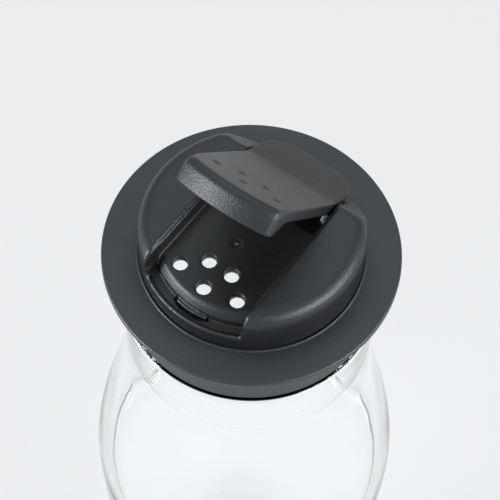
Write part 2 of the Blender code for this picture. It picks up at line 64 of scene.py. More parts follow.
# Sizes that the frame gives
DECK = corners("screw_collar")[1].z
FLANGE_R = corners("screw_collar")[1].x
SKIRT_BOTTOM = corners("screw_collar")[0].z - DECK
BOSS_R = corners("shaker_insert")[1].x
BOSS_H = corners("shaker_insert")[1].z - DECK
SPIGOT_BOTTOM = corners("shaker_insert")[0].z - DECK
BODY_R = corners("jar")[1].x
FINISH_TOP = corners("jar")[1].z
HINGE = next(j for j in frame["joints"] if j["name"] == "flap_hinge")
PIVOT_Y = HINGE["pos_m"][1] * METRE
PIVOT_Z = HINGE["pos_m"][2] * METRE - DECK
OPEN_ANGLE = math.radians(HINGE["range_deg"][1])

# Clearances
FIT_GAP = 0.3                 # play between touching mouldings
SIDE_GAP = 0.5                # flap side to slot wall
EAR_GAP = 1.46                # from the room of the flap's ear to the floor of its well

# Rounds that the mouldings share, from the sharpest
FINE_EDGE = 0.1
THIN_EDGE = 0.15
SMALL_EDGE = 0.2
EDGE = 0.3
BLUNT_EDGE = 0.4
BROAD_EDGE = 0.5

# Insert
SPIGOT_R = BOSS_R - 1.84
SPIGOT_WALL = 1.4
BEAD_R = SPIGOT_R + 0.55
BEAD_TOP = -1.9
BOSS_TOP_R = BOSS_R - 0.25
BOSS_FILLET = 2.7
TOP_WALL = 1.5
FLOOR_T = 1.2
CORE_STEP = 0.3               # the core in the cheeks stands in from the one in the base
CHEEK_WALL = 2.0
REBATE_W = 0.55               # step along the top of the slot's walls
REBATE_D = 0.45
SLOT_HALF_W = 10.0
CHEEK_CORNER = 0.95           # upright corners at the front ends of the cheeks
CORNER_BAND = 2.0             # band inside the boss's wall in which those corners grow round
CORNER_SIDE = 1.5             # the same band, measured from the slot's walls
FACET_Y = PIVOT_Y + 1.9       # where the boss's rear facet starts
FACET_ANGLE = math.radians(46)
FACET_EDGE = 0.6
CORE_ROUND = 1.5

# Sifter plate, moat and rim
PLATE_TOP = BOSS_H - 3.94
PLATE_T = 1.6
PLATE_R = 16.64
PLATE_FOOT_R = 17.74
PLATE_WALL = 1.2
SLOPE_DROP = 1.7              # height of the plate's sloped edge
SLOPE_ROUND = 0.5
WALL_LEAN = 0.1               # lean of the wall under that slope
MOAT_Z = PLATE_TOP - 3.2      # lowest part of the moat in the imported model
MOAT_FLOOR = MOAT_Z + 0.5     # its wide flat floor
RIM_IN_R = 19.59
RIM_Z = MOAT_Z + 1.06
RIM_EDGE = 0.28
CATCH_HALF = math.radians(11.5)    # half of the catch's sweep round the plate
CATCH_OUT = 0.32
CATCH_UP = 0.12
CATCH_R = 0.38
CATCH_FULL = 1.15             # how full the catch stays towards its ends, where 1 is a point
CATCH_INSET = 0.4             # the bead ends this far inside its pocket
POCKET_D = 1.2
POCKET_W = 1.05
HOLE_R = 1.32
HOLE_EDGE = 0.25
FRONT_ROW_R = PLATE_R * 0.855
REAR_ROW_R = PLATE_R * 0.583
FRONT_FAN = math.radians(25.8)
REAR_FAN = math.radians(14.5)
GATE_AT = (-0.7, -3.7)        # where the mould was filled
GATE_R = 0.95
GATE_DEPTH = 0.12
GATE_STUB_R = 0.3
GATE_STUB_H = 0.2
GATE_ROOT = 0.2               # height of the stub's root over the plate's underside

# Flap, closed
FLAP_HALF_W = SLOT_HALF_W - SIDE_GAP
FLAP_T = 1.3
LIP_T = 1.2
LIP_H = 2.4
FLAP_SKIRT_T = 1.3
FLAP_FILLET = 1.6
FLAP_CORNER = 0.8             # upright corners of the front skirt
FLAP_CORNER_RUN = 4.5         # how far the brow's round fades out along the sides
BROW_FOOT = 1.5               # how far over the skirt's foot the brow's round starts
FLAP_INSET = 0.01             # keeps the skirt just inside the boss's top edge
FLAP_BOTTOM = RIM_Z + 1.3
GUSSET_BACK = 4.8             # the side lips start to deepen this far behind the skirt's corners
GUSSET_RUN = 3.3              # and are as deep as the skirt after this run
GUSSET_TOP_ROUND = 0.8
GUSSET_FOOT_ROUND = 1.5
EAR_R = 1.9                   # room that the slot's well leaves for the ear
EAR_SIZE = 0.8                # the ear itself, from the pivot to each of its sides
TRUNNION_R = 1.05
TRUNNION_L = 1.4
CREASE_Y = PIVOT_Y - 1.8
CREASE_ROUND = 9.0
TAB_REACH = 8.9
TAB_ANGLE = math.radians(17)
BEND_Y = CREASE_Y + FLAP_T * math.tan(TAB_ANGLE / 2)    # crease of the underside
TAB_CORNER_R = 4.2
TAB_BOW = 1.4                 # how far the tab's end curves back at its sides
TAB_BLANK = 3.0               # how far the tab's side outline runs past its rounded end
PIN_DIP = 0.35                # how far the closed flap's pins reach into the holes
PIN_EDGE = 0.25
SINK_R = 0.95                 # sink marks over the plug pins
SINK_DEPTH = 0.24
SINK_BALL_R = (SINK_R ** 2 + SINK_DEPTH ** 2) / (2 * SINK_DEPTH)

# Collar
HOLE_IN_COLLAR_R = SPIGOT_R + FIT_GAP
WEB_T = 1.6
FLANGE_T = 1.2
SEAT_LIP = 0.28               # witness ring of the collar round the foot of the boss
SEAT_LIP_H = 0.16
SEAT_LIP_EDGE = 0.07
SKIRT_WALL = 1.35
SKIRT_R = FLANGE_R - 3.35
SKIRT_IN_R = SKIRT_R - SKIRT_WALL

# Jar
MOUTH_R = BEAD_R + FIT_GAP
FINISH_R = MOUTH_R + 1.8
NECK_R = SKIRT_R + 0.3
LEDGE_Z = DECK + SKIRT_BOTTOM - 0.35
NECK_Z = DECK - 28.0          # where the straight neck ends and the S-curve starts
BODY_TOP = 13.0
RIM_ROUND = 0.6
LEDGE_ROUND = 0.3
INSIDE_ROUND = 1.6            # rounds of the inside's step from the neck to the mouth
INSIDE_STEP = 1.0
BASE_ROUND = 4.0
GLASS_WALL = 2.2
GLASS_FLOOR = 3.0
PUSH_UP = 1.2
FOOT_W = 6.5

# Screw thread on the finish and in the skirt, and the rings on the neck
THREAD_PITCH = 3.0
THREAD_DEPTH = 0.95
THREAD_SHARE = 0.42           # width of a ridge at its foot, of the pitch
THREAD_FADE = 1.2
THREAD_REACH = 0.2            # walls this near to the thread's radius carry it
THREAD_FOOT = 1.2             # over the ledge
THREAD_HEAD = 0.8             # under the jar's rim
SKIRT_THREAD_HEAD = 1.0       # under the collar's web
RING_PITCH = 2.0
RING_DEPTH = 0.02
RING_SHARE = 1.0
RING_FADE = RING_PITCH * 2
RING_BAND = 26.0              # height of the neck that carries rings
RING_WALL_R = NECK_R + 0.9    # middle of the radii that carry them, out to RING_REACH on both sides
RING_REACH = 1.2
RIDGE_CREST = 1.6             # over 1, a ridge has a flat crest
RIDGE_SIZES = ("radius", "reach", "low", "high", "pitch", "lead", "height", "share", "fade")
RIDGE_NUMBERS = ("lead", "share")    # those that aren't lengths

# Fineness
COLLAR_SEGMENTS = 240
COLLAR_ROW = 0.27             # height of a row of faces
JAR_SEGMENTS = 232
NECK_ROW = 0.45
BODY_ROW = 1.0
SHOULDER_POINTS = 60
FOOT_POINTS = 16
INSERT_STEP = 0.26            # spacing of the grid that the insert is cut from
FLAP_STEP = 0.17
TABLE_FINENESS = 10           # steps of a spun outline's table in one of the grid
MARGIN = 1.0                  # room in a grid round its shape
TAB_ROOM = 5.0                # room over the closed flap's plate, for its tab
BEYOND = 4.0                  # how far a cutting outline runs past the boss
BELOW = 3.0                   # how far the flap's hollow runs under the room of its ears
PULLS = 2                     # times that a skin's points are pulled onto the surface
LEAST_SLOPE = 0.25            # square of the flattest slope that a pull trusts
ON_AXIS = 0.0003              # a radius that counts as none
SIDE_SHARE = 0.499            # the most of a side that a corner's round takes
STRAIGHT = math.radians(89.5)    # half of a corner that counts as straight

# Finishes
SPARK_SCALE = 4200.0          # spark texture of the moulds, in grains to a metre
SPARK_HEIGHT = 0.00018
SPARK_GLOSS = 0.08            # how far the sparks vary the roughness
PATCH_SCALE = 260.0           # broad patches of uneven gloss
PATCH_GLOSS = 0.1
PATCH_TONE = 0.15             # how far the patches vary the colour
DARK_TINT = (0.8, 0.88, 1.0)  # red, green and blue of the darkest patch, in parts of the shade
PALE_TINT = (1.0, 1.1, 1.25)
PLASTIC_IOR = 1.54
PLASTIC_SHEEN = (0.93, 0.99, 1.02, 1)
GLASS_COLOUR = (0.985, 0.992, 0.99, 1)
GLASS_IOR = 1.48
RIPPLE_SCALE = 60.0
RIPPLE_HEIGHT = 0.0002
FOAM_SCALE = 2600.0
FOAM_HEIGHT = 0.00005
FOAM_DARK = (0.78, 0.78, 0.76, 1)
FOAM_PALE = (0.86, 0.86, 0.84, 1)

# Stage
STAGE_SIZE = 6.0
STAGE_COLOUR = (0.811, 0.826, 0.842, 1)
FLOOR_GAP = 0.00005           # floor under the jar's foot, so that the two faces don't meet
FLOOR_GLOW = 0.95             # share of the floor's own colour where it is seen; the rest takes shadows
LIGHT_COLOUR = (0.98, 1.0, 1.02, 1)
WORLD_LIGHT = 0.42
WORLD_GLOSS = 0.25            # share of the pale background in reflections of the world

# View
VIEW_AZIMUTH = math.radians(34.56)
VIEW_ELEVATION = math.radians(59.98)
VIEW_ROLL = math.radians(2.21)
VIEW_DISTANCE = 270.5
VIEW_AIM_Y = -0.54
LENS = 108
SENSOR = 36


class Signal:
    """An output socket that can stand in a sum: each operator adds its Math node."""

    def __init__(self, tree, socket):
        self.tree = tree
        self.socket = socket

    def math(self, operation, other=0.0, flip=False):
        """Add a Math node on this socket and another value, in the other order with flip."""
        pair = (other, self) if flip else (self, other)
        return add_node(self.tree, "ShaderNodeMath", {"operation": operation}, {0: pair[0], 1: pair[1]})

    def __add__(self, other):
        return self.math("ADD", other)

    def __mul__(self, other):
        return self.math("MULTIPLY", other)

    def __sub__(self, other):
        return self.math("SUBTRACT", other)

    def __rsub__(self, other):
        return self.math("SUBTRACT", other, flip=True)

    def __truediv__(self, other):
        return self.math("DIVIDE", other)

    def __rtruediv__(self, other):
        return self.math("DIVIDE", other, flip=True)

    __radd__ = __add__
    __rmul__ = __mul__


def add_node(tree, kind, settings, sockets, output=0):
    """Add a node: its settings first, then a value or a link for each named or numbered socket."""
    node = tree.nodes.new(kind)
    for name, value in settings.items():
        setattr(node, name, value)
    for key, value in sockets.items():
        if isinstance(value, Signal):
            tree.links.new(value.socket, node.inputs[key])
        else:
            node.inputs[key].default_value = value
    return Signal(tree, node.outputs[output]) if node.outputs else None


def new_material(name):
    """An empty node material, and its tree."""
    mat = bpy.data.materials.new(name)
    mat.use_nodes = True
    mat.node_tree.nodes.clear()
    return mat, mat.node_tree


def finish_material(mat, surface):
    """The material, with a shader as its surface."""
    add_node(mat.node_tree, "ShaderNodeOutputMaterial", {}, {"Surface": surface})
    return mat


def object_place(tree):
    """Place on the object, in metres."""
    return add_node(tree, "ShaderNodeTexCoord", {}, {}, "Object")


def noise(tree, place, scale, detail):
    """Random grain from 0 to 1."""
    sockets = {"Vector": place, "Scale": scale, "Detail": detail}
    return add_node(tree, "ShaderNodeTexNoise", {}, sockets, "Fac")


def bumps(tree, height, strength, distance):
    """A surface direction that follows a grain's height."""
    sockets = {"Strength": strength, "Distance": distance, "Height": height}
    return add_node(tree, "ShaderNodeBump", {}, sockets)


def mixed_colour(tree, factor, first, second):
    """A colour between two."""
    return add_node(tree, "ShaderNodeMix", {"data_type": "RGBA"}, {"Factor": factor, 6: first, 7: second}, 2)


def black_plastic(name, shade, grain, rough):
    """Black polypropylene with a fine spark texture, a little uneven in gloss."""
    mat, tree = new_material(name)
    place = object_place(tree)
    sparks = noise(tree, place, SPARK_SCALE, detail=2.0)
    patches = noise(tree, place, PATCH_SCALE, detail=3.0)
    blend = (patches - 0.5) * PATCH_TONE + 0.5
    dark = [shade * part for part in DARK_TINT] + [1]
    pale = [shade * part for part in PALE_TINT] + [1]
    shader = add_node(tree, "ShaderNodeBsdfPrincipled", {},
                      {"Base Color": mixed_colour(tree, blend, dark, pale),
                       "Roughness": (patches - 0.5) * PATCH_GLOSS + (sparks - 0.5) * SPARK_GLOSS + rough,
                       "Normal": bumps(tree, sparks, grain, SPARK_HEIGHT),
                       "IOR": PLASTIC_IOR, "Specular Tint": PLASTIC_SHEEN})
    return finish_material(mat, shader)


def clear_glass(name):
    """Clear glass with a faint cool tint and a slight ripple."""
    mat, tree = new_material(name)
    ripple = noise(tree, object_place(tree), RIPPLE_SCALE, detail=1.0)
    shader = add_node(tree, "ShaderNodeBsdfPrincipled", {},
                      {"Base Color": GLASS_COLOUR, "Roughness": 0.0, "IOR": GLASS_IOR,
                       "Transmission Weight": 1.0,
                       "Normal": bumps(tree, ripple, strength=0.15, distance=RIPPLE_HEIGHT)})
    return finish_material(mat, shader)


def white_foam(name):
    """White pressed foam of the sealing ring."""
    mat, tree = new_material(name)
    cells = add_node(tree, "ShaderNodeTexVoronoi", {}, {"Vector": object_place(tree), "Scale": FOAM_SCALE},
                     "Distance")
    shader = add_node(tree, "ShaderNodeBsdfPrincipled", {},
                      {"Base Color": mixed_colour(tree, cells, FOAM_DARK, FOAM_PALE), "Roughness": 0.75,
                       "Normal": bumps(tree, cells, strength=0.4, distance=FOAM_HEIGHT)})
    return finish_material(mat, shader)


def soften(outline, steps=5):
    """Round the corners of an outline: a corner is (a, b), or (a, b, radius)."""
    points = []
    count = len(outline)
    for i, corner in enumerate(outline):
        here = Vector(corner[:2])
        radius = corner[2] if len(corner) > 2 else 0.0
        before = Vector(outline[i - 1][:2]) - here
        after = Vector(outline[(i + 1) % count][:2]) - here
        half = before.angle(after) / 2 if radius else 0.0
        if not radius or half > STRAIGHT:
            points.append(tuple(here))
            continue
        reach = radius / math.tan(half)
        reach = min(reach, before.length * SIDE_SHARE, after.length * SIDE_SHARE)
        radius = reach * math.tan(half)
        start = here + before.normalized() * reach
        end = here + after.normalized() * reach
        centre = here + (before.normalized() + after.normalized()).normalized() * (radius / math.sin(half))
        first = math.atan2(start.y - centre.y, start.x - centre.x)
        turn = math.atan2(end.y - centre.y, end.x - centre.x) - first
        turn = (turn + math.pi) % (2 * math.pi) - math.pi
        for k in range(steps + 1):
            a = first + turn * k / steps
            points.append((centre.x + radius * math.cos(a), centre.y + radius * math.sin(a)))
    return points


def outline_field(points, a, b):
    """Distance from each (a, b) to a closed outline, negative inside it."""
    shape = np.broadcast(a, b).shape
    nearest = np.full(shape, np.inf)
    inside = np.zeros(shape, bool)
    for (a0, b0), (a1, b1) in zip(points, points[1:] + points[:1]):
        da = a1 - a0
        db = b1 - b0
        along = np.clip(((a - a0) * da + (b - b0) * db) / (da * da + db * db), 0, 1)
        nearest = np.minimum(nearest, (a - a0 - along * da) ** 2 + (b - b0 - along * db) ** 2)
        if db:
            inside ^= ((b0 > b) != (b1 > b)) & (a < a0 + (b - b0) * da / db)
    return np.where(inside, -1, 1) * np.sqrt(nearest)


def ease(share):
    """Rise smoothly from 0 to 1 while the share does."""
    share = np.clip(share, 0, 1)
    return share * share * (3 - 2 * share)


def both(a, b, radius=0.0):
    """Where two shapes meet, with a round of that radius on the edge."""
    if not np.any(radius):
        return np.maximum(a, b)
    outside = np.hypot(np.maximum(a + radius, 0), np.maximum(b + radius, 0))
    return np.minimum(np.maximum(a, b), -radius) + outside


def either(a, b, radius=0.0):
    """Two shapes joined, with a fillet of that radius in the corner."""
    return -both(-a, -b, radius)


def without(a, b, radius=0.0):
    """The first shape less the second, with a round on the edge of the cut."""
    return both(a, -b, radius)


class Space:
    """A grid of points in which a shape is a field of distances, negative inside it."""

    def __init__(self, low, high, step):
        self.low = np.array(low)
        self.step = step
        axes = [np.arange(a, b + step, step) for a, b in zip(low, high)]
        self.x = axes[0][:, None, None]
        self.y = axes[1][None, :, None]
        self.z = axes[2][None, None, :]
        self.r = np.hypot(self.x, self.y)
        self.across = np.abs(self.x)

    def turned(self, outline):
        """A closed (radius, height) outline spun about Z."""
        points = soften(outline)
        radii = np.arange(0, self.r.max() + self.step, self.step / TABLE_FINENESS)
        table = outline_field(points, radii[:, None], self.z[0, 0][None, :])
        spun = [np.interp(self.r[:, :, 0], radii, table[:, k]) for k in range(table.shape[1])]
        return np.stack(spun, axis=2)

    def extruded(self, outline):
        """A closed (y, z) outline, endless along X."""
        return outline_field(soften(outline), self.y, self.z)

    def pin(self, x, y, radius):
        """An upright round bar, endless up and down."""
        return np.hypot(self.x - x, self.y - y) - radius

    def axle(self, y, z, radius):
        """A round bar along X, endless both ways."""
        return np.hypot(self.y - y, self.z - z) - radius

    def ball(self, x, y, z, radius):
        """A round ball about a point."""
        return np.sqrt((self.x - x) ** 2 + (self.y - y) ** 2 + (self.z - z) ** 2) - radius

    def sample(self, grid, points):
        """The grid's value at each point, from the eight grid points round it."""
        place = (points - self.low) / self.step
        cell = np.clip(place.astype(int), 0, np.array(grid.shape) - 2)
        share = place - cell
        total = 0.0
        for corner in np.ndindex(2, 2, 2):
            weight = np.prod(np.where(corner, share, 1 - share), axis=1)
            total = total + weight * grid[tuple((cell + corner).T)]
        return total

    def skin(self, field):
        """Surface of a field: a point in each cell that it crosses, and a face over each crossed edge."""
        cells = np.array(field.shape) - 1
        total = np.zeros((cells.prod(), 3))
        count = np.zeros(cells.prod())
        rings = []
        for axis in range(3):
            others = [k for k in range(3) if k != axis]
            swung = np.moveaxis(field, axis, 0)
            first = swung[:-1]
            second = swung[1:]
            found = np.nonzero((first < 0) != (second < 0))
            a = first[found]
            b = second[found]
            index = np.empty((len(a), 3), int)
            for k, column in zip([axis] + others, found):
                index[:, k] = column
            point = index.astype(float)
            point[:, axis] += a / (a - b)
            ring = []
            for s, t in ((0, 0), (1, 0), (1, 1), (0, 1)):
                cell = index.copy()
                cell[:, others[0]] -= s
                cell[:, others[1]] -= t
                flat = np.ravel_multi_index(cell.T, cells)
                for k in range(3):
                    total[:, k] += np.bincount(flat, point[:, k], len(total))
                count += np.bincount(flat, minlength=len(total))
                ring.append(flat)
            ring = np.stack(ring, axis=1)
            # An edge that leads outwards turns its face over, and along Y one that leads inwards does
            turn = (a < 0) != (axis == 1)
            ring[turn] = ring[turn][:, ::-1]
            rings.append(ring)
        used = np.nonzero(count)[0]
        number = np.zeros(len(total), int)
        number[used] = np.arange(len(used))
        points = total[used] / count[used, None] * self.step + self.low
        slopes = np.gradient(field, self.step)
        for _ in range(PULLS):
            value = self.sample(field, points)
            slope = np.stack([self.sample(grid, points) for grid in slopes], axis=1)
            points -= slope * (value / np.maximum((slope ** 2).sum(axis=1), LEAST_SLOPE))[:, None]
        return points, number[np.concatenate(rings)].tolist()


def mesh_piece(name, points, faces, mat):
    """A smooth mesh object at the origin, from points in millimetres."""
    mesh = bpy.data.meshes.new(name)
    mesh.from_pydata(np.asarray(points) / METRE, [], faces)
    mesh.shade_smooth()
    mesh.materials.append(mat)
    piece = bpy.data.objects.new(name, mesh)
    bpy.context.scene.collection.objects.link(piece)
    return piece


def ridge_tree():
    """Node tree that raises rings (lead 0) or a screw thread (lead 1) on a round wall."""
    tree = bpy.data.node_groups.new("ridges", "GeometryNodeTree")
    sockets = tree.interface
    sockets.new_socket("Geometry", in_out="OUTPUT", socket_type="NodeSocketGeometry")
    sockets.new_socket("Geometry", in_out="INPUT", socket_type="NodeSocketGeometry")
    for name in RIDGE_SIZES:
        sockets.new_socket(name, in_out="INPUT", socket_type="NodeSocketFloat")
    sockets.new_socket("Finish", in_out="INPUT", socket_type="NodeSocketMaterial")
    radius, reach, low, high, pitch, lead, height, share, fade = (
        add_node(tree, "NodeGroupInput", {}, {}, name) for name in RIDGE_SIZES)
    place = add_node(tree, "GeometryNodeInputPosition", {}, {})
    x, y, z = (add_node(tree, "ShaderNodeSeparateXYZ", {}, {0: place}, axis) for axis in "XYZ")
    level = add_node(tree, "ShaderNodeVectorMath", {"operation": "MULTIPLY"}, {0: place, 1: (1, 1, 0)})
    outwards = add_node(tree, "ShaderNodeVectorMath", {"operation": "NORMALIZE"}, {0: level})
    off_axis = add_node(tree, "ShaderNodeVectorMath", {"operation": "LENGTH"}, {0: level}, "Value")
    turn = y.math("ARCTAN2", x) / (2 * math.pi)
    phase = ((z - low) / pitch - turn * lead).math("FRACT")
    aside = (phase - 0.5).math("ABSOLUTE") * 2 / share
    ridge = (RIDGE_CREST - aside * aside * RIDGE_CREST).math("MAXIMUM", 0.0).math("MINIMUM", 1.0)
    start = ((z - low) / fade).math("MAXIMUM", 0.0).math("MINIMUM", 1.0)
    end = ((high - z) / fade).math("MAXIMUM", 0.0).math("MINIMUM", 1.0)
    on_wall = (off_axis - radius).math("ABSOLUTE").math("LESS_THAN", reach)
    lift = ridge * start * end * on_wall * height
    offset = add_node(tree, "ShaderNodeVectorMath", {"operation": "SCALE"}, {0: outwards, "Scale": lift})
    wall = add_node(tree, "NodeGroupInput", {}, {}, "Geometry")
    raised = add_node(tree, "GeometryNodeSetPosition", {}, {"Geometry": wall, "Offset": offset})
    real = add_node(tree, "GeometryNodeRealizeInstances", {}, {"Geometry": raised})
    finish = add_node(tree, "NodeGroupInput", {}, {}, "Finish")
    done = add_node(tree, "GeometryNodeSetMaterial", {}, {"Geometry": real, "Material": finish})
    add_node(tree, "NodeGroupOutput", {}, {"Geometry": done})
    return tree


def raise_ridges(piece, tree, **sizes):
    """Raise ridges on a piece, by the sizes that RIDGE_SIZES names, and keep a plain mesh."""
    modifier = piece.modifiers.new("ridges", "NODES")
    modifier.node_group = tree
    inputs = {item.name: item.identifier for item in tree.interface.items_tree if item.in_out == "INPUT"}
    for name in RIDGE_SIZES:
        modifier[inputs[name]] = float(sizes[name]) if name in RIDGE_NUMBERS else sizes[name] / METRE
    modifier[inputs["Finish"]] = piece.data.materials[0]
    shown = piece.evaluated_get(bpy.context.evaluated_depsgraph_get())
    mesh = bpy.data.meshes.new_from_object(shown)
    piece.modifiers.remove(modifier)
    piece.data = mesh


def raise_thread(piece, tree, radius, low, high, height):
    """The screw thread on a wall, inwards where its height is negative."""
    raise_ridges(piece, tree, radius=radius, reach=THREAD_REACH, low=low, high=high, height=height,
                 pitch=THREAD_PITCH, lead=1, share=THREAD_SHARE, fade=THREAD_FADE)


def lathe(name, outline, mat, spacing, segments):
    """Spin a closed (radius, height) outline, in rows at most spacing(height) apart."""
    rows = []
    for (r0, z0), (r1, z1) in zip(outline, outline[1:] + outline[:1]):
        parts = max(1, math.ceil(math.hypot(r1 - r0, z1 - z0) / spacing(min(z0, z1))))
        rows += [(r0 + (r1 - r0) * k / parts, z0 + (z1 - z0) * k / parts) for k in range(parts)]
    turns = np.arange(segments) * 2 * math.pi / segments
    points = []
    rings = []
    for r, z in rows:
        if r < ON_AXIS:
            rings.append([len(points)] * segments)
            points.append((0, 0, z))
        else:
            rings.append(list(range(len(points), len(points) + segments)))
            points += [(r * math.cos(a), r * math.sin(a), z) for a in turns]
    faces = []
    for lower, upper in zip(rings, rings[1:] + rings[:1]):
        for k in range(segments):
            after = (k + 1) % segments
            face = list(dict.fromkeys([lower[k], upper[k], upper[after], lower[after]]))
            if len(face) > 2:
                faces.append(face)
    return mesh_piece(name, points, faces, mat)


def dress(piece, body, slot, *nodes):
    """Let a piece ride on its body and take the place of CAD nodes."""
    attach(piece, body)
    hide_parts(*nodes)


def jar_outline():
    """Section of the jar from the rim down the outside and up the inside."""
    def shoulder(z, wall=0.0):
        return (NECK_R + (BODY_R - NECK_R) * ease((NECK_Z - z) / (NECK_Z - BODY_TOP)) - wall, z)

    heights = [NECK_Z + (BODY_TOP - NECK_Z) * k / SHOULDER_POINTS for k in range(SHOULDER_POINTS + 1)]
    outside = [(MOUTH_R, FINISH_TOP, RIM_ROUND), (FINISH_R, FINISH_TOP, BROAD_EDGE),
               (FINISH_R, LEDGE_Z, RIM_ROUND), (NECK_R, LEDGE_Z, LEDGE_ROUND)]
    outside += [shoulder(z) for z in heights]
    outside += [(BODY_R, 0, BASE_ROUND)]
    foot = BODY_R - BASE_ROUND - FOOT_W
    outside += [(foot * k / FOOT_POINTS, PUSH_UP * math.cos(math.pi / 2 * k / FOOT_POINTS) ** 2)
                for k in range(FOOT_POINTS, -1, -1)]
    floor = PUSH_UP + GLASS_FLOOR
    step = LEDGE_Z - GLASS_WALL
    inside = [(0, floor), (BODY_R - GLASS_WALL, floor, BASE_ROUND - GLASS_WALL / 2)]
    inside += [shoulder(z, GLASS_WALL) for z in reversed(heights)]
    inside += [(NECK_R - GLASS_WALL, step, INSIDE_ROUND), (MOUTH_R, step + INSIDE_STEP, INSIDE_ROUND)]
    return soften(outside + inside, steps=8)


def make_jar(ridges):
    """The clear jar, with its thread and the faint rings round its neck."""
    def spacing(z):
        return NECK_ROW if z > LEDGE_Z - RING_BAND else BODY_ROW

    piece = lathe("glass_jar", jar_outline(), clear_glass("clear_glass"), spacing, JAR_SEGMENTS)
    raise_thread(piece, ridges, FINISH_R, LEDGE_Z + THREAD_FOOT, FINISH_TOP - THREAD_HEAD, THREAD_DEPTH)
    high = LEDGE_Z - LEDGE_ROUND
    raise_ridges(piece, ridges, radius=RING_WALL_R, reach=RING_REACH, low=high - RING_BAND, high=high,
                 height=RING_DEPTH, pitch=RING_PITCH, lead=0, share=RING_SHARE, fade=RING_FADE)
    piece.visible_shadow = False    # clear walls let the light through
    dress(piece, "jar", "clear_jar", "jar")


def make_collar(ridges):
    """The screw cap's ring: flange, threaded skirt and the witness ring round the boss."""
    lip = BOSS_R + FIT_GAP / 4
    lip_out = lip + SEAT_LIP
    outline = [(HOLE_IN_COLLAR_R, 0, SMALL_EDGE), (lip, 0), (lip, SEAT_LIP_H, SEAT_LIP_EDGE),
               (lip_out, SEAT_LIP_H, SEAT_LIP_EDGE), (lip_out, 0), (FLANGE_R, 0, BROAD_EDGE),
               (FLANGE_R, -FLANGE_T, BLUNT_EDGE), (SKIRT_R, -FLANGE_T, BROAD_EDGE),
               (SKIRT_R, SKIRT_BOTTOM, BROAD_EDGE), (SKIRT_IN_R, SKIRT_BOTTOM, BLUNT_EDGE),
               (SKIRT_IN_R, -WEB_T, BLUNT_EDGE), (HOLE_IN_COLLAR_R, -WEB_T, SMALL_EDGE)]
    raised = [(r, z + DECK) for r, z in soften(outline, steps=6)]
    mat = black_plastic("collar_plastic", shade=0.017, grain=0.3, rough=0.42)
    piece = lathe("collar", raised, mat, lambda z: COLLAR_ROW, COLLAR_SEGMENTS)
    raise_thread(piece, ridges, SKIRT_IN_R, LEDGE_Z + THREAD_FOOT - THREAD_PITCH / 2,
                 DECK - WEB_T - SKIRT_THREAD_HEAD, -THREAD_DEPTH)
    dress(piece, "cap", "collar_black", "screw_collar")


def tab_under(y):
    """Height of the closed tab's underside at y."""
    return BOSS_H - FLAP_T + (y - BEND_Y) * math.tan(TAB_ANGLE)


def opened(y, z):
    """Where a point of the closed flap lies when the flap is open."""
    c = math.cos(OPEN_ANGLE)
    s = math.sin(OPEN_ANGLE)
    behind = y - PIVOT_Y
    above = z - PIVOT_Z
    return PIVOT_Y + behind * c + above * s, PIVOT_Z - behind * s + above * c


def stop_height(y):
    """Height of the sloped stop under the open tab."""
    near = opened(PIVOT_Y, tab_under(PIVOT_Y))
    far = opened(PIVOT_Y + TAB_REACH, tab_under(PIVOT_Y + TAB_REACH))
    slope = (far[1] - near[1]) / (far[0] - near[0])
    return near[1] + (y - near[0]) * slope - FIT_GAP * math.hypot(1, slope)


def hole_places():
    """Centres of the five holes: three along the front and two behind them."""
    front = [(FRONT_ROW_R, FRONT_FAN * i) for i in (-1, 0, 1)]
    rear = [(REAR_ROW_R, REAR_FAN * i) for i in (-1, 1)]
    return [(r * math.sin(a), -r * math.cos(a)) for r, a in front + rear]


def facet_field(at):
    """Distance over the sloped facet at the boss's rear, negative under it."""
    return (at.y - FACET_Y) * math.sin(FACET_ANGLE) + (at.z - BOSS_H) * math.cos(FACET_ANGLE)


